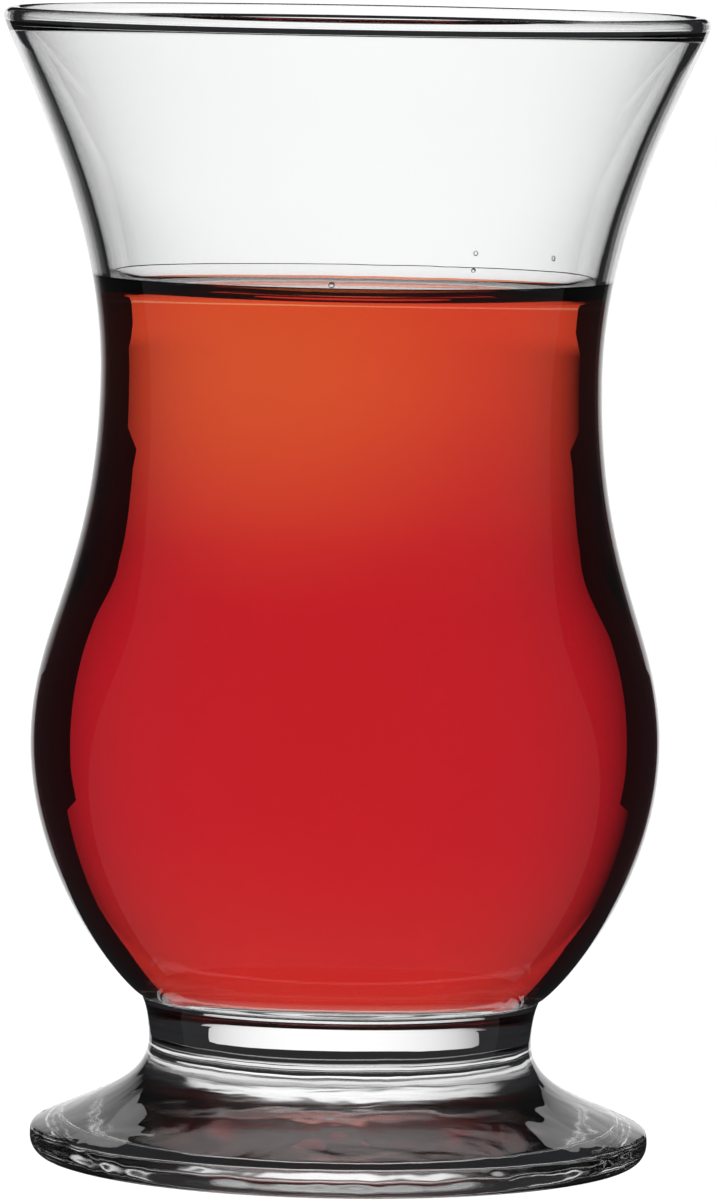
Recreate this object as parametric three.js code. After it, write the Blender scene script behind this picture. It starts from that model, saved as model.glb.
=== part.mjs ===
// Turkish tea glass: a waisted glass on a solid stem and a round foot, filled with tea.
// Millimetres, +Z up. The flat ring under the foot is on z = 0 and both pieces share the Z axis.

import * as THREE from 'three';

// Heights and radii of the glass, each a place where its outline turns
const RIM_TOP = 105;
const RIM = { r: 32.2, z: 104.2, lean: 11.5, down: 3.4 };
const WAIST = { r: 22.9, z: 71.9, lean: 0, down: 18.4, up: 15.5 };
const BULGE = { r: 28.8, z: 38.2, lean: 0, down: 12.8, up: 10.6 };
const SEAT = { r: 18.6, z: 15.0, lean: 61, down: 0.9, up: 1.7 };
const STEM = { r: 17.55, z: 10.8, lean: 0, down: 4.4, up: 0.8 };
const SHOULDER = { r: 27.95, z: 2.85, lean: -64, down: 0.4, up: 4.8 };
const NOSE = { r: 28.35, z: 1.75, lean: 0, down: 1.0, up: 0.5 };
const FOOT_EDGE = { r: 26.9, z: 0, lean: 90, up: 0.8 };

// The wall, the floor inside and the hollow under the foot
const WALL = 1.5;
const WAIST_WALL = 1.55;
const FLOOR = { r: 16, z: 16.5, lean: 90, up: 2 };
const RING_RADIUS = 25.45;
const SHELF = { r: 24.6, z: 1.45 };
const HOLLOW_CROWN = 0.75;

// The tea: its flat level, how far it climbs the wall and the distance over which it falls off
const TEA_LEVEL = 79.5;
const TEA_CLIMB = 1.5;
const CLIMB_REACH = 1.3;
const TOUCH_GAP = 0.3;

const ROUND_STEPS = 48;

// A stretch of outline between two turning places, each left along its own lean from the vertical
function flow(from, to, steps) {
  const place = (station) => new THREE.Vector2(station.r, station.z);
  const heading = (station) => {
    const angle = THREE.MathUtils.degToRad(station.lean);
    return new THREE.Vector2(Math.sin(angle), Math.cos(angle));
  };
  const leave = place(from).addScaledVector(heading(from), from.up);
  const arrive = place(to).addScaledVector(heading(to), -to.down);
  return new THREE.CubicBezierCurve(place(from), leave, arrive, place(to)).getPoints(steps);
}

// The hollow: a shallow dome from the axis out to its shelf, then the steep side down to the ring
function hollow(steps) {
  const sphere = (SHELF.r ** 2 + HOLLOW_CROWN ** 2) / (2 * HOLLOW_CROWN);
  const crown = Array.from({ length: steps + 1 }, (_, i) => {
    const r = (SHELF.r * i) / steps;
    return new THREE.Vector2(r, SHELF.z + HOLLOW_CROWN - sphere + Math.sqrt(sphere ** 2 - r ** 2));
  });
  return [...crown, new THREE.Vector2(RING_RADIUS, 0)];
}

// The rounded lip: half a turn from the outer face of the rim to its inner face
function lip(steps) {
  const half = WALL / 2;
  const crown = RIM_TOP - RIM.z;
  return Array.from({ length: steps + 1 }, (_, i) => {
    const angle = (Math.PI * i) / steps;
    return new THREE.Vector2(RIM.r - half + half * Math.cos(angle), RIM.z + crown * Math.sin(angle));
  });
}

// The inner face, from the middle of the floor up to the rim
function innerFace() {
  const innerRim = { ...RIM, r: RIM.r - WALL };
  const innerWaist = { ...WAIST, r: WAIST.r - WAIST_WALL };
  const innerBulge = { ...BULGE, r: BULGE.r - WALL };
  return join([
    [new THREE.Vector2(0, FLOOR.z)],
    flow(FLOOR, innerBulge, 10),
    flow(innerBulge, innerWaist, 9),
    flow(innerWaist, innerRim, 8),
  ]);
}

// One outline out of several, without the points that two neighbours share
function join(stretches) {
  const same = 1e-6;
  return stretches.flat().filter((point, i, all) => i === 0 || point.distanceTo(all[i - 1]) > same);
}

function revolve(outline) {
  const axis = 1e-9;
  const closed = outline.map((point) => new THREE.Vector2(point.x < axis ? 0 : point.x, point.y));
  return new THREE.LatheGeometry(closed, ROUND_STEPS).rotateX(Math.PI / 2);
}

function glassGeometry() {
  return revolve(join([
    hollow(4),
    flow(FOOT_EDGE, NOSE, 3),
    flow(NOSE, SHOULDER, 2),
    flow(SHOULDER, STEM, 7),
    flow(STEM, SEAT, 4),
    flow(SEAT, BULGE, 10),
    flow(BULGE, WAIST, 10),
    flow(WAIST, RIM, 10),
    lip(6),
    innerFace().reverse(),
  ]));
}

// The inner face moved in by the gap that touching pieces keep
function teaSide() {
  const face = innerFace();
  return face.map((point, i) => {
    const before = face[Math.max(i - 1, 0)];
    const after = face[Math.min(i + 1, face.length - 1)];
    const along = after.clone().sub(before).normalize();
    const moved = new THREE.Vector2(point.x - along.y * TOUCH_GAP, point.y + along.x * TOUCH_GAP);
    return i === 0 ? new THREE.Vector2(0, point.y + TOUCH_GAP) : moved;
  });
}

// The side of the tea up to the height where it stops climbing the wall
function below(face, height) {
  const first = face.findIndex((point) => point.y > height);
  const low = face[first - 1];
  const share = (height - low.y) / (face[first].y - low.y);
  return [...face.slice(0, first), low.clone().lerp(face[first], share)];
}

// The top of the tea, from the wall to the axis, falling off from its climb to the flat level
function teaTop(edge, steps) {
  const span = 5 * CLIMB_REACH;
  const curved = Array.from({ length: steps + 1 }, (_, i) => {
    const away = span * (i / steps) ** 2;
    return new THREE.Vector2(edge.x - away, TEA_LEVEL + TEA_CLIMB * Math.exp(-away / CLIMB_REACH));
  });
  return [...curved, new THREE.Vector2(0, TEA_LEVEL)];
}

function teaGeometry() {
  const side = below(teaSide(), TEA_LEVEL + TEA_CLIMB);
  return revolve(join([side, teaTop(side.at(-1), 6)]));
}

const clearGlass = new THREE.MeshStandardMaterial({
  color: 0xe9eeee, roughness: 0.03, metalness: 0, transparent: true, opacity: 0.35,
});
const brewedTea = new THREE.MeshStandardMaterial({ color: 0xc4241f, roughness: 0.05, metalness: 0 });

const glass = new THREE.Mesh(glassGeometry(), clearGlass);
glass.name = 'glass';

const tea = new THREE.Mesh(teaGeometry(), brewedTea);
tea.name = 'tea';

const teaGlass = new THREE.Group();
teaGlass.add(glass, tea);

export default teaGlass;
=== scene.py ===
"""A waisted Turkish tea glass with its tea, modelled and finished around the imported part."""

import math

import bmesh
import bpy
from bpy.props import FloatProperty, FloatVectorProperty, IntProperty, PointerProperty
from mathutils import Matrix, Vector


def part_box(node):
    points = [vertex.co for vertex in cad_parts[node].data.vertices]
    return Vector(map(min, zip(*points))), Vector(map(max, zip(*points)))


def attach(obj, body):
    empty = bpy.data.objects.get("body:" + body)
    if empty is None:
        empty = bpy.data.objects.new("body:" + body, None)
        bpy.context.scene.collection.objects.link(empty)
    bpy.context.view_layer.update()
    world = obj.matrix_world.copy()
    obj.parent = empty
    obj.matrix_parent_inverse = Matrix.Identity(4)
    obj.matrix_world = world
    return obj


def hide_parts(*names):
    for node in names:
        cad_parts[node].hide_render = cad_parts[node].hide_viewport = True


bl_info = {
    "name": "Turkish Tea Glass",
    "version": (1, 0, 0),
    "blender": (4, 5, 0),
    "location": "3D View > Sidebar > Tea Glass",
    "description": "Models a waisted tea glass with its tea and the studio around it",
    "category": "Object",
}

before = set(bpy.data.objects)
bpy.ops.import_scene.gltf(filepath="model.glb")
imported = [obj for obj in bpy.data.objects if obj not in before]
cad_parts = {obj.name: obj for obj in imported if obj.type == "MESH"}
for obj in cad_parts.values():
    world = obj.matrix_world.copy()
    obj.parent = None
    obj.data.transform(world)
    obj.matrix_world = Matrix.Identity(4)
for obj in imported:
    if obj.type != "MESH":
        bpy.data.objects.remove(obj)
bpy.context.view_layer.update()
MM = 0.001
BODY = "root"
FULL_TURN = 2 * math.pi
WHITE = (1, 1, 1, 1)

# The rim of the glass and the highest edge of the tea, as the frame holds them
GLASS_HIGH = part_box("glass")[1]
RIM_TOP = GLASS_HIGH.z
RIM_RADIUS = GLASS_HIGH.x
TEA_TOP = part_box("tea")[1].z

# Where the outline turns: radius, height, lean from the vertical and the reach of the curve below and above
RIM = {"r": RIM_RADIUS, "z": RIM_TOP - 0.8 * MM, "lean": 11.5, "down": 3.4 * MM}
WAIST = {"r": 22.9 * MM, "z": 71.9 * MM, "lean": 0, "down": 18.4 * MM, "up": 15.5 * MM}
BULGE = {"r": 28.8 * MM, "z": 38.2 * MM, "lean": 0, "down": 12.8 * MM, "up": 10.6 * MM}
SEAT = {"r": 18.6 * MM, "z": 15.0 * MM, "lean": 61, "down": 0.9 * MM, "up": 1.7 * MM}
STEM = {"r": 17.55 * MM, "z": 10.8 * MM, "lean": 0, "down": 4.4 * MM, "up": 0.8 * MM}
SHOULDER = {"r": 27.95 * MM, "z": 2.85 * MM, "lean": -64, "down": 0.4 * MM, "up": 4.8 * MM}
NOSE = {"r": 28.35 * MM, "z": 1.75 * MM, "lean": 0, "down": 1.0 * MM, "up": 0.5 * MM}
FOOT_EDGE = {"r": 26.9 * MM, "z": 0.0, "lean": 90, "up": 0.8 * MM}
FLOOR = {"r": 16 * MM, "z": 16.5 * MM, "lean": 90, "up": 2 * MM}

# The stretches of the outer face from the foot up to the waist, each with its number of steps
WALL_STEPS = 40
OUTER_FACE = (
    (FOOT_EDGE, NOSE, 10),
    (NOSE, SHOULDER, 6),
    (SHOULDER, STEM, 24),
    (STEM, SEAT, 14),
    (SEAT, BULGE, WALL_STEPS),
    (BULGE, WAIST, WALL_STEPS),
)

# The hollow under the foot: the inner edge of the ring, the shelf above it and how far the dome rises
RING = Vector((25.45 * MM, 0))
SHELF = Vector((24.6 * MM, 1.45 * MM))
HOLLOW_CROWN = 0.75 * MM
HOLLOW_STEPS = 28
CORNER = 0.35 * MM
CORNER_STEPS = 6

# The bead of the rim: its size, where it leaves the outer face and where it meets the inner one
BEAD_RADIUS = 0.82 * MM
BEAD_START = math.radians(-28.5)
BEAD_END = math.radians(216)
BEAD_STEPS = 30
BEAD_BLEND = 0.1

# The flat floor and level, and the edge of the tea on the wall
FLAT_STEPS = 8
CLIMB_STEPS = 24
CLIMB_SPAN = 6

SAME_PLACE = 1e-7
MERGE_DISTANCE = 1e-6


def outline_stretch(start, end, steps):
    """The points of a curve from one turning place to the next, as (radius, height)."""
    def ahead(station, reach):
        angle = math.radians(station["lean"])
        return Vector((station["r"] + reach * math.sin(angle), station["z"] + reach * math.cos(angle)))
    first = ahead(start, 0)
    leave = ahead(start, start["up"])
    arrive = ahead(end, -end["down"])
    last = ahead(end, 0)
    points = []
    for i in range(steps + 1):
        t = i / steps
        near = (1 - t) ** 3 * first + 3 * (1 - t) ** 2 * t * leave
        points.append(near + 3 * (1 - t) * t ** 2 * arrive + t ** 3 * last)
    return points


def joined(*stretches):
    """One outline out of several, without the points that neighbours share."""
    outline = []
    for point in (p for stretch in stretches for p in stretch):
        if not outline or (point - outline[-1]).length > SAME_PLACE:
            outline.append(point)
    return outline


def dome(edge, height, steps):
    """A shallow dome from the axis out to its edge."""
    sphere = (edge.x ** 2 + height ** 2) / (2 * height)
    rings = [edge.x * i / steps for i in range(steps + 1)]
    return [Vector((r, edge.y + math.sqrt(sphere ** 2 - r ** 2) - (sphere - height))) for r in rings]


def eased(before, corner, after):
    """A corner rounded off between the points on either side of it."""
    start = corner + (before - corner).normalized() * CORNER
    end = corner + (after - corner).normalized() * CORNER
    turns = [i / CORNER_STEPS for i in range(CORNER_STEPS + 1)]
    return [(1 - t) ** 2 * start + 2 * (1 - t) * t * corner + t ** 2 * end for t in turns]


def hollow():
    """The hollow under the foot, from its crown down its steep side to the ring that the glass stands on."""
    crown = [p for p in dome(SHELF, HOLLOW_CROWN, HOLLOW_STEPS) if p.x < SHELF.x - CORNER]
    foot_edge = Vector((FOOT_EDGE["r"], FOOT_EDGE["z"]))
    return joined(crown, eased(crown[-1], SHELF, RING), eased(SHELF, RING, foot_edge))


def beaded(outer, inner):
    """The two faces of the wall joined over the rounded bead of the rim."""
    middle = Vector((RIM_RADIUS - BEAD_RADIUS, RIM_TOP - BEAD_RADIUS))
    up = [p for p in outer if p.y < middle.y and (p - middle).length > BEAD_RADIUS]
    down = [p for p in inner if p.y < middle.y and (p - middle).length > BEAD_RADIUS]
    turns = [BEAD_START + (BEAD_END - BEAD_START) * i / BEAD_STEPS for i in range(BEAD_STEPS + 1)]
    arc = [middle + BEAD_RADIUS * Vector((math.cos(a), math.sin(a))) for a in turns]
    return joined(up, [arc[0].lerp(up[-1], BEAD_BLEND)], arc, [arc[-1].lerp(down[0], BEAD_BLEND)], down)


def inner_face(settings):
    """The inner face, from the middle of the floor up to the rim."""
    rim = {**RIM, "r": RIM["r"] - settings.wall}
    waist = {**WAIST, "r": WAIST["r"] - settings.waist_wall}
    bulge = {**BULGE, "r": BULGE["r"] - settings.wall}
    flat = [Vector((FLOOR["r"] * i / FLAT_STEPS, FLOOR["z"])) for i in range(FLAT_STEPS + 1)]
    bowl = outline_stretch(FLOOR, bulge, WALL_STEPS)
    neck = outline_stretch(bulge, waist, WALL_STEPS)
    return joined(flat, bowl, neck, outline_stretch(waist, rim, WALL_STEPS))


def moved_out(face, distance):
    """An inner face moved along its normals into the wall."""
    moved = []
    for i, point in enumerate(face):
        before = face[max(i - 1, 0)]
        after = face[min(i + 1, len(face) - 1)]
        along = (after - before).normalized()
        radius = max(0.0, point.x + along.y * distance) if i else 0.0
        moved.append(Vector((radius, point.y - along.x * distance)))
    return moved


def cut_at(face, height):
    """The part of an inner face below a height, with its last point at that height."""
    below = [p for p in face if p.y < height]
    above = face[len(below)]
    share = (height - below[-1].y) / (above.y - below[-1].y)
    return below + [below[-1].lerp(above, share)]


def tea_surface(edge, settings):
    """The top of the tea, from its edge on the wall down to its level and in to the axis."""
    level = TEA_TOP - settings.tea_climb
    span = CLIMB_SPAN * settings.climb_reach
    curve = []
    for i in range(CLIMB_STEPS + 1):
        away = span * (i / CLIMB_STEPS) ** 2
        rise = settings.tea_climb * math.exp(-away / settings.climb_reach)
        curve.append(Vector((edge - away, level + rise)))
    curve[-1].y = level
    flat = [Vector((curve[-1].x * (1 - i / FLAT_STEPS), level)) for i in range(FLAT_STEPS + 1)]
    return joined(curve, flat)


def revolved(name, outline, turns):
    """A smooth closed mesh object: the outline spun once round the Z axis."""
    bm = bmesh.new()
    verts = [bm.verts.new((p.x, 0, p.y)) for p in outline]
    edges = [bm.edges.new(pair) for pair in zip(verts, verts[1:])]
    bmesh.ops.spin(bm, geom=verts + edges, cent=(0, 0, 0), axis=(0, 0, 1), angle=FULL_TURN,
                   steps=turns, use_merge=True, use_duplicate=False)
    bmesh.ops.remove_doubles(bm, verts=bm.verts, dist=MERGE_DISTANCE)
    bmesh.ops.recalc_face_normals(bm, faces=bm.faces)
    return finished(name, bm)


def finished(name, bm):
    """The bmesh as a smooth object at the origin."""
    for face in bm.faces:
        face.smooth = True
    mesh = bpy.data.meshes.new(name)
    bm.to_mesh(mesh)
    bm.free()
    piece = bpy.data.objects.new(name, mesh)
    bpy.context.scene.collection.objects.link(piece)
    return piece


def feed(tree, socket, source):
    """A socket that takes the output of another node, or else a plain value."""
    if isinstance(source, bpy.types.NodeSocket):
        tree.links.new(source, socket)
    else:
        socket.default_value = source


def calculated(tree, operation, *sources):
    """The result of a Math node."""
    node = tree.nodes.new("ShaderNodeMath")
    node.operation = operation
    for socket, source in zip(node.inputs, sources):
        feed(tree, socket, source)
    return node.outputs["Value"]


def vector_calculated(tree, operation, output, *sources):
    """One output of a Vector Math node."""
    node = tree.nodes.new("ShaderNodeVectorMath")
    node.operation = operation
    for socket, source in zip(node.inputs, sources):
        feed(tree, socket, source)
    return node.outputs[output]


def parted(tree, vector):
    """The X, Y and Z of a vector."""
    node = tree.nodes.new("ShaderNodeSeparateXYZ")
    tree.links.new(vector, node.inputs["Vector"])
    return node.outputs


def ranged(tree, value, start, end, at_start=0.0, at_end=1.0, smooth=False):
    """A value that goes over from one number to another between a start and an end."""
    node = tree.nodes.new("ShaderNodeMapRange")
    node.interpolation_type = "SMOOTHSTEP" if smooth else "LINEAR"
    feed(tree, node.inputs["Value"], value)
    feed(tree, node.inputs["From Min"], start)
    feed(tree, node.inputs["From Max"], end)
    feed(tree, node.inputs["To Min"], at_start)
    feed(tree, node.inputs["To Max"], at_end)
    return node.outputs["Result"]


def blended(tree, share, first, second):
    """A colour that goes over into another."""
    node = tree.nodes.new("ShaderNodeMix")
    node.data_type = "RGBA"
    feed(tree, node.inputs["Factor"], share)
    feed(tree, node.inputs["A"], first)
    feed(tree, node.inputs["B"], second)
    return node.outputs["Result"]


def graded(tree, share, stops):
    """A colour that goes through several stops, each its place from 0 to 1 and its colour."""
    node = tree.nodes.new("ShaderNodeValToRGB")
    elements = node.color_ramp.elements
    for position, _ in stops[1:-1]:
        elements.new(position)
    for element, (_, colour) in zip(elements, stops):
        element.color = (*colour, 1)
    tree.links.new(share, node.inputs["Fac"])
    return node.outputs["Color"]


def cloudy(tree, place, scale, detail, distortion=0.0):
    """Soft noise from 0 to 1."""
    node = tree.nodes.new("ShaderNodeTexNoise")
    node.inputs["Scale"].default_value = scale
    node.inputs["Detail"].default_value = detail
    node.inputs["Distortion"].default_value = distortion
    tree.links.new(place, node.inputs["Vector"])
    return node.outputs["Fac"]


ROUND_MASK = "round_mask"


def round_mask_group():
    """The node group that masks what lies within a radius of the axis, built once."""
    if ROUND_MASK in bpy.data.node_groups:
        return bpy.data.node_groups[ROUND_MASK]
    group = bpy.data.node_groups.new(ROUND_MASK, "ShaderNodeTree")
    group.interface.new_socket(name="Place", in_out="INPUT", socket_type="NodeSocketVector")
    group.interface.new_socket(name="Radius", in_out="INPUT", socket_type="NodeSocketFloat")
    group.interface.new_socket(name="Fade", in_out="INPUT", socket_type="NodeSocketFloat")
    group.interface.new_socket(name="Mask", in_out="OUTPUT", socket_type="NodeSocketFloat")
    given = group.nodes.new("NodeGroupInput").outputs
    flat = vector_calculated(group, "MULTIPLY", "Vector", given["Place"], (1, 1, 0))
    away = vector_calculated(group, "LENGTH", "Value", flat)
    outside = calculated(group, "ADD", given["Radius"], given["Fade"])
    mask = ranged(group, away, outside, given["Radius"])
    group.links.new(mask, group.nodes.new("NodeGroupOutput").inputs["Mask"])
    return group


def round_mask(tree, place, radius, fade):
    """A mask that is 1 within a radius of the axis and 0 past its fade."""
    node = tree.nodes.new("ShaderNodeGroup")
    node.node_tree = round_mask_group()
    tree.links.new(place, node.inputs["Place"])
    node.inputs["Radius"].default_value = radius
    node.inputs["Fade"].default_value = fade
    return node.outputs["Mask"]


def clear_material(name, ior):
    """A new clear material, with its node tree, its shader and the place on the piece."""
    material = bpy.data.materials.new(name)
    material.use_nodes = True
    tree = material.node_tree
    shader = tree.nodes["Principled BSDF"]
    shader.inputs["IOR"].default_value = ior
    shader.inputs["Transmission Weight"].default_value = 1.0
    return material, tree, shader, tree.nodes.new("ShaderNodeTexCoord").outputs


# The glass is faintly smudged all over and wavy in its foot, with a dull hollow underneath
SMUDGE_SCALE = 60
SMUDGE_DETAIL = 3
WAVY_FROM = 13 * MM
WAVY_FULL = 6 * MM
WAVE_SIZE = 8 * MM
WAVE_DETAIL = 2
WAVE_DISTORTION = 0.4
WAVE_HEIGHT = 0.3 * MM
WALL_WAVE_SHARE = 0.02
DULL_HEIGHT = 2.6 * MM
DULL_RADIUS = 25.6 * MM
DULL_FADE = 0.01 * MM
DULL_ROUGHNESS = 0.12


def glass_material(settings):
    """Clear, colourless, polished glass."""
    material, tree, shader, given = clear_material("clear_glass", settings.glass_ior)
    place = given["Object"]
    height = parted(tree, place)["Z"]

    smudge = cloudy(tree, place, SMUDGE_SCALE, SMUDGE_DETAIL)
    tint = blended(tree, smudge, (*settings.glass_tint, 1), WHITE)
    tree.links.new(tint, shader.inputs["Base Color"])

    low = calculated(tree, "LESS_THAN", height, DULL_HEIGHT)
    inside = round_mask(tree, place, DULL_RADIUS, DULL_FADE)
    in_hollow = calculated(tree, "MULTIPLY", low, inside)
    dull = calculated(tree, "MULTIPLY", in_hollow, DULL_ROUGHNESS)
    tree.links.new(dull, shader.inputs["Roughness"])

    waves = cloudy(tree, place, 1 / WAVE_SIZE, WAVE_DETAIL, WAVE_DISTORTION)
    share = ranged(tree, height, WAVY_FROM, WAVY_FULL, WALL_WAVE_SHARE, 1, smooth=True)
    bump = tree.nodes.new("ShaderNodeBump")
    bump.inputs["Distance"].default_value = WAVE_HEIGHT
    tree.links.new(calculated(tree, "MULTIPLY", waves, share), bump.inputs["Height"])
    tree.links.new(bump.outputs["Normal"], shader.inputs["Normal"])
    return material


# The colour of the tea by its height in millimetres, with painted light in it: deepest red round the bulge,
# lighter and more orange up the neck and towards the floor; and how far a swirl moves these heights
TEA_TINTS_WITH_PAINTED_LIGHT = (
    (16, (0.74, 0.098, 0.052)),
    (22, (0.72, 0.055, 0.058)),
    (32, (0.715, 0.033, 0.06)),
    (52, (0.68, 0.027, 0.05)),
    (61, (0.73, 0.07, 0.055)),
    (70, (0.8, 0.11, 0.056)),
    (80, (0.8, 0.12, 0.05)),
)
TEA_SWAY = 8 * MM
SWIRL_SCALE = 38
SWIRL_DETAIL = 2
SWIRL_DISTORTION = 0.6

# A painted orange glow in the neck: a pool of light painted into the tea's colour at its front left
PAINTED_GLOW_PLACE = Vector((-6, -20, 71)) * MM
PAINTED_GLOW_RADIUS = 20 * MM
PAINTED_GLOW_HEART = 2 * MM
PAINTED_GLOW_TINT = (0.86, 0.36, 0.066)

# The underside, where the tea lies on the floor of the glass, is pale
UNDERSIDE_HEIGHT = 17.2 * MM
UNDERSIDE_RADIUS = 16.8 * MM
UNDERSIDE_FADE = 0.8 * MM
UNDERSIDE_TINT = (0.95, 0.95, 0.95)

# The surface of the tea is clear, and so is the side of its climbing edge, except at the front
SURFACE_LOW = 79.4 * MM
SURFACE_FACING = 0.2
CLEAR_EDGE_LOW = 78.7 * MM
CLEAR_EDGE_TILT = 0.12


def tea_tint_with_painted_light(tree, place, height):
    """The colour of the tea by its height, with painted light: deeper red round the bulge, lighter up the
    neck, and a painted orange glow in the neck.
    """
    swirl = cloudy(tree, place, SWIRL_SCALE, SWIRL_DETAIL, SWIRL_DISTORTION)
    swayed = calculated(tree, "MULTIPLY_ADD", swirl, TEA_SWAY, height)
    low = TEA_TINTS_WITH_PAINTED_LIGHT[0][0]
    high = TEA_TINTS_WITH_PAINTED_LIGHT[-1][0]
    share = ranged(tree, swayed, low * MM + TEA_SWAY / 2, high * MM + TEA_SWAY / 2)
    # Painted light: the tint by height is deeper in the bulge and lighter up the neck
    by_height = graded(tree, share, [((z - low) / (high - low), tint) for z, tint in TEA_TINTS_WITH_PAINTED_LIGHT])
    # A painted pool of orange light round a point at the front of the neck
    away = vector_calculated(tree, "DISTANCE", "Value", place, PAINTED_GLOW_PLACE)
    glow = ranged(tree, away, PAINTED_GLOW_RADIUS, PAINTED_GLOW_HEART, smooth=True)
    return blended(tree, glow, by_height, (*PAINTED_GLOW_TINT, 1))


def pale_underside(tree, place, height, tint):
    """The tea's colour made pale where the tea lies on the floor of the glass."""
    low = calculated(tree, "LESS_THAN", height, UNDERSIDE_HEIGHT)
    inside = round_mask(tree, place, UNDERSIDE_RADIUS, UNDERSIDE_FADE)
    return blended(tree, calculated(tree, "MULTIPLY", low, inside), tint, (*UNDERSIDE_TINT, 1))


def clear_surface(tree, place, normal, height, tint):
    """The tea's colour made clear on its surface and on most of the side of its climbing edge."""
    tilted = vector_calculated(tree, "DOT_PRODUCT", "Value", place, (0, CLEAR_EDGE_TILT, 1))
    edge = calculated(tree, "GREATER_THAN", tilted, CLEAR_EDGE_LOW)
    surface = calculated(tree, "GREATER_THAN", parted(tree, normal)["Z"], SURFACE_FACING)
    high = calculated(tree, "GREATER_THAN", height, SURFACE_LOW)
    clear = calculated(tree, "MULTIPLY", calculated(tree, "MAXIMUM", edge, surface), high)
    return blended(tree, clear, tint, WHITE)


def tea_material(settings):
    """Brewed tea: clear, crimson in the bowl and more orange in the neck, with painted light in its colour
    where the neck lets more light through.
    """
    material, tree, shader, given = clear_material("tea", settings.tea_ior)
    shader.inputs["Roughness"].default_value = 0.0
    place = given["Object"]
    height = parted(tree, place)["Z"]
    tint = pale_underside(tree, place, height, tea_tint_with_painted_light(tree, place, height))
    tint = clear_surface(tree, place, given["Normal"], height, tint)
    tree.links.new(tint, shader.inputs["Base Color"])
    absorption = tree.nodes.new("ShaderNodeVolumeAbsorption")
    absorption.inputs["Color"].default_value = (*settings.tea_clear, 1)
    absorption.inputs["Density"].default_value = settings.tea_strength
    tree.links.new(absorption.outputs["Volume"], tree.nodes["Material Output"].inputs["Volume"])
    return material


WATER_TINT = (0.96, 0.97, 0.98, 1)
WATER_CELL_SCALE = 900
WATER_ROUGHNESS = 0.06


def droplet_material(settings):
    """Clear water, a little uneven."""
    material, tree, shader, given = clear_material("water", settings.tea_ior)
    shader.inputs["Base Color"].default_value = WATER_TINT
    cells = tree.nodes.new("ShaderNodeTexVoronoi")
    cells.inputs["Scale"].default_value = WATER_CELL_SCALE
    tree.links.new(given["Object"], cells.inputs["Vector"])
    uneven = ranged(tree, cells.outputs["Distance"], 0.0, 1.0, 0.0, WATER_ROUGHNESS)
    tree.links.new(uneven, shader.inputs["Roughness"])
    return material


class TeaGlassSettings(bpy.types.PropertyGroup):
    """Sizes and colours of the glass, the tea and the studio."""

    wall: FloatProperty(
        name="Wall", description="Thickness of the wall", default=1.5 * MM, unit="LENGTH")
    waist_wall: FloatProperty(
        name="Waist wall", description="Thickness of the wall at the waist", default=1.55 * MM,
        unit="LENGTH")
    round_steps: IntProperty(
        name="Round steps", description="Faces round each piece", default=160)
    glass_tint: FloatVectorProperty(
        name="Glass tint", description="Colour of the clear glass", default=(0.985, 0.99, 0.99),
        subtype="COLOR")
    glass_ior: FloatProperty(
        name="Glass IOR", description="Refraction of the glass", default=1.52)
    tea_ior: FloatProperty(
        name="Tea IOR", description="Refraction of the tea and the droplets", default=1.333)
    tea_climb: FloatProperty(
        name="Tea climb", description="How far the tea climbs the wall", default=1.5 * MM,
        unit="LENGTH")
    climb_reach: FloatProperty(
        name="Climb reach", description="Distance over which the climb falls off", default=1.3 * MM,
        unit="LENGTH")
    into_wall: FloatProperty(
        name="Into wall", description="How far the tea reaches into the wall", default=0.12 * MM,
        unit="LENGTH")
    tea_clear: FloatVectorProperty(
        name="Tea colour", description="Colour that passes through the tea", default=(0.88, 0.2, 0.12),
        subtype="COLOR")
    tea_strength: FloatProperty(
        name="Tea strength", description="Colour taken per metre of tea", default=25.0)
    backdrop_light: FloatProperty(
        name="Backdrop light", description="Brightness of the panel behind the glass", default=1.12)


class TEAGLASS_OT_glass(bpy.types.Operator):
    """Model the clear glass with its stem and foot"""
    bl_idname = "teaglass.glass"
    bl_label = "Glass"

    def execute(self, context):
        settings = context.scene.tea_glass
        outside = [outline_stretch(*stretch) for stretch in OUTER_FACE]
        flare = outline_stretch(WAIST, RIM, WALL_STEPS)
        outline = joined(hollow(), *outside, beaded(flare, inner_face(settings)[::-1]))
        piece = revolved("clear_glass", outline, settings.round_steps)
        piece.data.materials.append(glass_material(settings))
        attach(piece, BODY)
        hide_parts("glass")
        return {"FINISHED"}


class TEAGLASS_OT_tea(bpy.types.Operator):
    """Model the tea up to its level, with the edge that climbs the wall"""
    bl_idname = "teaglass.tea"
    bl_label = "Tea"

    def execute(self, context):
        settings = context.scene.tea_glass
        side = cut_at(moved_out(inner_face(settings), settings.into_wall), TEA_TOP)
        outline = joined(side, tea_surface(side[-1].x, settings))
        piece = revolved("tea_drink", outline, settings.round_steps)
        piece.data.materials.append(tea_material(settings))
        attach(piece, BODY)
        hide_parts("tea")
        return {"FINISHED"}


# Where each droplet sits on the inner wall: its angle round the glass, its height and its radius
DROPLETS = (
    (58.8, 82.3 * MM, 0.25 * MM),
    (58.8, 80.7 * MM, 0.25 * MM),
    (32.1, 82.2 * MM, 0.26 * MM),
    (-94.8, 81.3 * MM, 0.28 * MM),
)
DROPLET_DEPTH = 0.6
DROPLET_INSET = 0.3
DROPLET_SUBDIVISIONS = 3


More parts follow.
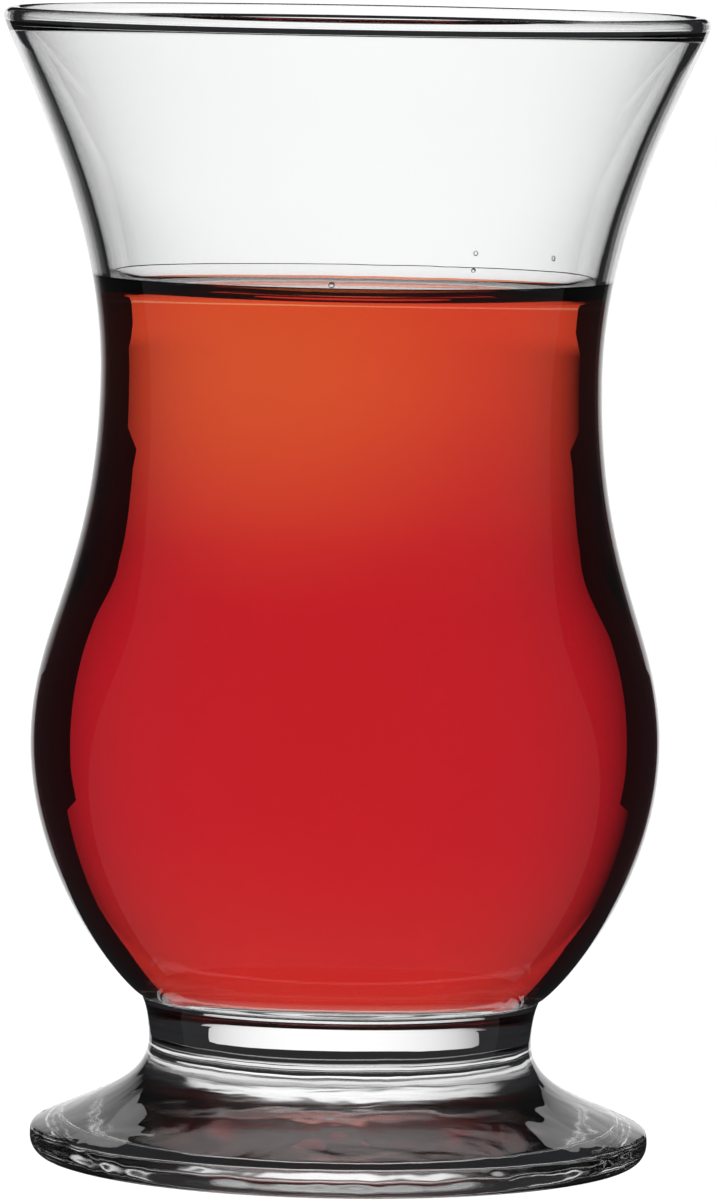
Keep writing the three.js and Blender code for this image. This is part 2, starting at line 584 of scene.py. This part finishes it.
class TEAGLASS_OT_droplets(bpy.types.Operator):
    """Add the small droplets on the inner wall and the bubble at the tea's edge"""
    bl_idname = "teaglass.droplets"
    bl_label = "Droplets"

    def execute(self, context):
        settings = context.scene.tea_glass
        face = inner_face(settings)
        bm = bmesh.new()
        for degrees, height, radius in DROPLETS:
            away = cut_at(face, height)[-1].x - DROPLET_INSET * radius
            turn = Matrix.Rotation(math.radians(degrees), 4, "Z")
            flattened = Matrix.Diagonal((DROPLET_DEPTH, 1, 1, 1))
            place = turn @ Matrix.Translation((away, 0, height)) @ flattened
            bmesh.ops.create_icosphere(
                bm, subdivisions=DROPLET_SUBDIVISIONS, radius=radius, matrix=place)
        piece = finished("droplets", bm)
        piece.data.materials.append(droplet_material(settings))
        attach(piece, BODY)
        return {"FINISHED"}


class TEAGLASS_OT_stage(bpy.types.Operator):
    """Set up the pale floor, the lit panels behind the glass, the soft light and the camera"""
    bl_idname = "teaglass.stage"
    bl_label = "Stage"

    def execute(self, context):
        settings = context.scene.tea_glass
        camera = make_camera(context)
        make_floor()
        make_painted_floor_glow()
        stand = stand_at_glass(camera)
        make_backdrop(settings, stand)
        make_surround(stand)
        make_floor_light()
        make_world(context)
        limit_bounces(context)
        return {"FINISHED"}


# The camera: its distance from the axis, its height and how far it dips, turns and rolls in radians
CAMERA_DISTANCE = 853 * MM
CAMERA_HEIGHT = 123 * MM
CAMERA_DIP = 0.0839
CAMERA_TURN = 0.00123
CAMERA_ROLL = 0.0175
CAMERA_NEAREST = 0.05
CAMERA_FURTHEST = 20
FOCAL_PIXELS = 9357
PHOTO_HEIGHT = 1200
SENSOR_MM = 36


def make_camera(context):
    """The camera at the photograph's viewing angle."""
    data = bpy.data.cameras.new("camera")
    data.sensor_width = SENSOR_MM
    data.lens = FOCAL_PIXELS * SENSOR_MM / PHOTO_HEIGHT
    data.clip_start = CAMERA_NEAREST
    data.clip_end = CAMERA_FURTHEST
    camera = bpy.data.objects.new("camera", data)
    aim = Matrix.Rotation(-CAMERA_TURN, 4, "Z") @ Matrix.Rotation(math.pi / 2 - CAMERA_DIP, 4, "X")
    roll = Matrix.Rotation(CAMERA_ROLL, 4, "Z")
    camera.matrix_world = Matrix.Translation((0, -CAMERA_DISTANCE, CAMERA_HEIGHT)) @ aim @ roll
    context.scene.collection.objects.link(camera)
    context.scene.camera = camera
    return camera


FLOOR_RADIUS = 3.0
FLOOR_SEGMENTS = 64
FLOOR_HEIGHT = -0.02 * MM
FLOOR_TINT = (0.86, 0.86, 0.86, 1)
FLOOR_ROUGHNESS = 0.9


def make_floor():
    """A wide pale floor just under the foot."""
    bm = bmesh.new()
    bmesh.ops.create_circle(bm, cap_ends=True, segments=FLOOR_SEGMENTS, radius=FLOOR_RADIUS)
    bmesh.ops.translate(bm, verts=bm.verts, vec=(0, 0, FLOOR_HEIGHT))
    floor = finished("floor", bm)
    material = bpy.data.materials.new("pale_floor")
    material.use_nodes = True
    shader = material.node_tree.nodes["Principled BSDF"]
    shader.inputs["Base Color"].default_value = FLOOR_TINT
    shader.inputs["Roughness"].default_value = FLOOR_ROUGHNESS
    floor.data.materials.append(material)
    floor.visible_glossy = False
    floor.visible_transmission = False


def glowing(name):
    """A white glowing material, with its node tree and the socket of its strength."""
    material = bpy.data.materials.new(name)
    material.use_nodes = True
    tree = material.node_tree
    tree.nodes.remove(tree.nodes["Principled BSDF"])
    glow = tree.nodes.new("ShaderNodeEmission")
    glow.inputs["Color"].default_value = WHITE
    tree.links.new(glow.outputs["Emission"], tree.nodes["Material Output"].inputs["Surface"])
    return material, tree, glow.inputs["Strength"]


def placed(tree):
    """The X, Y and Z of the place on a piece."""
    return parted(tree, tree.nodes.new("ShaderNodeTexCoord").outputs["Object"])


# The glowing strip that stands in for the floor behind the foot, with painted light and painted shade: its
# half width, its near and far edge and its height
STRIP_HALF_WIDTH = 16 * MM
STRIP_NEAR = 22.5 * MM
STRIP_FAR = 29 * MM
STRIP_HEIGHT = -0.01 * MM

# Its glow rises from painted shade under the foot to painted light further back
SHADE_EDGE = 22 * MM
SHADE_LIGHT = 0.03
LIT_EDGE = 26 * MM
LIT_LIGHT = 0.9


def make_painted_floor_glow():
    """A glowing strip, seen only through the foot, that stands in for the floor behind it with painted light
    and a painted shadow under the foot; the rest of the floor stays in shade.
    """
    bm = bmesh.new()
    left, right = -STRIP_HALF_WIDTH, STRIP_HALF_WIDTH
    corners = ((left, STRIP_NEAR), (right, STRIP_NEAR), (right, STRIP_FAR), (left, STRIP_FAR))
    bm.faces.new([bm.verts.new((x, y, STRIP_HEIGHT)) for x, y in corners])
    strip = finished("floor_glow_painted_shade", bm)
    material, tree, strength = glowing("painted_floor_light")
    # Painted shadow under the foot, going over into painted light behind it
    light = ranged(tree, placed(tree)["Y"], SHADE_EDGE, LIT_EDGE, SHADE_LIGHT, LIT_LIGHT)
    tree.links.new(light, strength)
    strip.data.materials.append(material)
    strip.visible_glossy = False
    strip.visible_diffuse = False
    strip.visible_camera = False


STAND_HEIGHT = 50 * MM


def stand_at_glass(camera):
    """An empty in the middle of the glass that turns with the camera, for what stays opposite it."""
    stand = bpy.data.objects.new("stand", None)
    bpy.context.scene.collection.objects.link(stand)
    stand.location = (0, 0, STAND_HEIGHT)
    turn = stand.constraints.new("TRACK_TO")
    turn.target = camera
    turn.track_axis = "TRACK_NEGATIVE_Y"
    turn.up_axis = "UP_Z"
    return stand


# The lit panels behind the glass as (across, up) from the stand in millimetres. What the bowl, the stem,
# the neck and the flare bend into view lies at different heights, so the sides step in and out between.
PANEL_BEHIND = 130 * MM
PANEL_OUTLINE = (
    (-66, -47), (58, -47), (65, -40), (66, -6), (64, 1), (77, 6), (79, 35), (75, 40), (72, 46), (72, 80),
    (-78, 80), (-78, 46), (-84, 40), (-89, 35), (-88, 6), (-72, 1), (-74, -6), (-73, -40),
)
LOW_PANEL_OUTLINE = ((-66, -168), (60, -168), (60, -138), (-66, -138))

# The panel's light falls off with the square of the distance across from its centre in metres
PANEL_CENTRE = 4 * MM
PANEL_FADE = 110
PANEL_HIGH_FADE = 40
PANEL_HIGH_FROM = 35 * MM
PANEL_HIGH_FULL = 42 * MM


def make_backdrop(settings, stand):
    """The lit panels close behind the glass."""
    bm = bmesh.new()
    for outline in (PANEL_OUTLINE, LOW_PANEL_OUTLINE):
        bm.faces.new([bm.verts.new((x * MM, PANEL_BEHIND, z * MM)) for x, z in outline])
    panel = finished("backdrop", bm)
    material, tree, strength = glowing("panel_light")
    place = placed(tree)
    across = calculated(tree, "SUBTRACT", place["X"], PANEL_CENTRE)
    square = calculated(tree, "MULTIPLY", across, across)
    light = settings.backdrop_light
    fade = ranged(tree, place["Z"], PANEL_HIGH_FROM, PANEL_HIGH_FULL,
                  -PANEL_FADE * light, -PANEL_HIGH_FADE * light)
    tree.links.new(calculated(tree, "MULTIPLY_ADD", square, fade, light), strength)
    panel.data.materials.append(material)
    panel.visible_diffuse = False
    panel.visible_camera = False
    panel.parent = stand


# The dome round the camera's side: its size, where it is cut off behind the glass and its light
SURROUND_RADIUS = 1.4
SURROUND_SEGMENTS = 48
SURROUND_RINGS = 24
SURROUND_CUT = 0.3
SURROUND_CUT_MARGIN = 1e-5
SURROUND_CUT_TILT = math.radians(25)
SURROUND_LIGHT = 0.12
SURROUND_TOP_LIGHT = 1.4
SURROUND_TOP_FROM = 0.9
SURROUND_TOP_FULL = 1.3


def make_surround(stand):
    """A dim dome round the camera's side, seen only as a faint reflection, brighter overhead."""
    bm = bmesh.new()
    bmesh.ops.create_uvsphere(
        bm, u_segments=SURROUND_SEGMENTS, v_segments=SURROUND_RINGS, radius=SURROUND_RADIUS)
    behind = Matrix.Rotation(SURROUND_CUT_TILT, 3, "X") @ Vector((0, 1, 0))
    bmesh.ops.bisect_plane(bm, geom=bm.verts[:] + bm.edges[:] + bm.faces[:],
                           dist=SURROUND_CUT_MARGIN, plane_co=behind * SURROUND_CUT, plane_no=behind,
                           clear_outer=True)
    surround = finished("surround", bm)
    material, tree, strength = glowing("surround_light")
    light = ranged(tree, placed(tree)["Z"], SURROUND_TOP_FROM, SURROUND_TOP_FULL,
                   SURROUND_LIGHT, SURROUND_TOP_LIGHT, smooth=True)
    tree.links.new(light, strength)
    surround.data.materials.append(material)
    surround.visible_diffuse = False
    surround.visible_camera = False
    surround.visible_transmission = False
    surround.parent = stand


FLOOR_LIGHT = 4.0


def make_floor_light():
    """Even light from above for the floor, which stays out of the glass."""
    data = bpy.data.lights.new("floor_light", "SUN")
    data.energy = FLOOR_LIGHT
    data.use_shadow = False
    lamp = bpy.data.objects.new("floor_light", data)
    lamp.visible_glossy = False
    lamp.visible_transmission = False
    lamp.visible_camera = False
    bpy.context.scene.collection.objects.link(lamp)


STUDIO_TINT = (0.02, 0.0205, 0.022, 1)
STUDIO_WHITE = 1.1


def make_world(context):
    """White to the camera and dim to everything else, so that the edges of the glass show dark."""
    world = bpy.data.worlds.new("studio")
    context.scene.world = world
    world.use_nodes = True
    nodes, links = world.node_tree.nodes, world.node_tree.links
    dim = nodes["Background"]
    dim.inputs["Color"].default_value = STUDIO_TINT
    white = nodes.new("ShaderNodeBackground")
    white.inputs["Color"].default_value = WHITE
    white.inputs["Strength"].default_value = STUDIO_WHITE
    path = nodes.new("ShaderNodeLightPath")
    mix = nodes.new("ShaderNodeMixShader")
    links.new(path.outputs["Is Camera Ray"], mix.inputs["Fac"])
    links.new(dim.outputs["Background"], mix.inputs[1])
    links.new(white.outputs["Background"], mix.inputs[2])
    links.new(mix.outputs["Shader"], nodes["World Output"].inputs["Surface"])


MOST_BOUNCES = 16
MOST_BOUNCES_THROUGH = 14


def limit_bounces(context):
    """Enough bounces for light that turns about inside the foot, and plain colours."""
    context.scene.cycles.max_bounces = MOST_BOUNCES
    context.scene.cycles.transmission_bounces = MOST_BOUNCES_THROUGH
    context.scene.view_settings.view_transform = "Standard"


class TEAGLASS_PT_panel(bpy.types.Panel):
    """The steps that build the tea glass"""
    bl_label = "Tea Glass"
    bl_idname = "TEAGLASS_PT_panel"
    bl_space_type = "VIEW_3D"
    bl_region_type = "UI"
    bl_category = "Tea Glass"

    def draw(self, context):
        for step in STEPS:
            self.layout.operator(step.bl_idname)


STEPS = (TEAGLASS_OT_glass, TEAGLASS_OT_tea, TEAGLASS_OT_droplets, TEAGLASS_OT_stage)
CLASSES = (TeaGlassSettings, *STEPS, TEAGLASS_PT_panel)


def register():
    for each in CLASSES:
        bpy.utils.register_class(each)
    bpy.types.Scene.tea_glass = PointerProperty(type=TeaGlassSettings)


def unregister():
    del bpy.types.Scene.tea_glass
    for each in reversed(CLASSES):
        bpy.utils.unregister_class(each)


def main():
    register()
    bpy.ops.teaglass.glass()
    bpy.ops.teaglass.tea()
    bpy.ops.teaglass.droplets()
    bpy.ops.teaglass.stage()


if __name__ == "__main__":
    main()
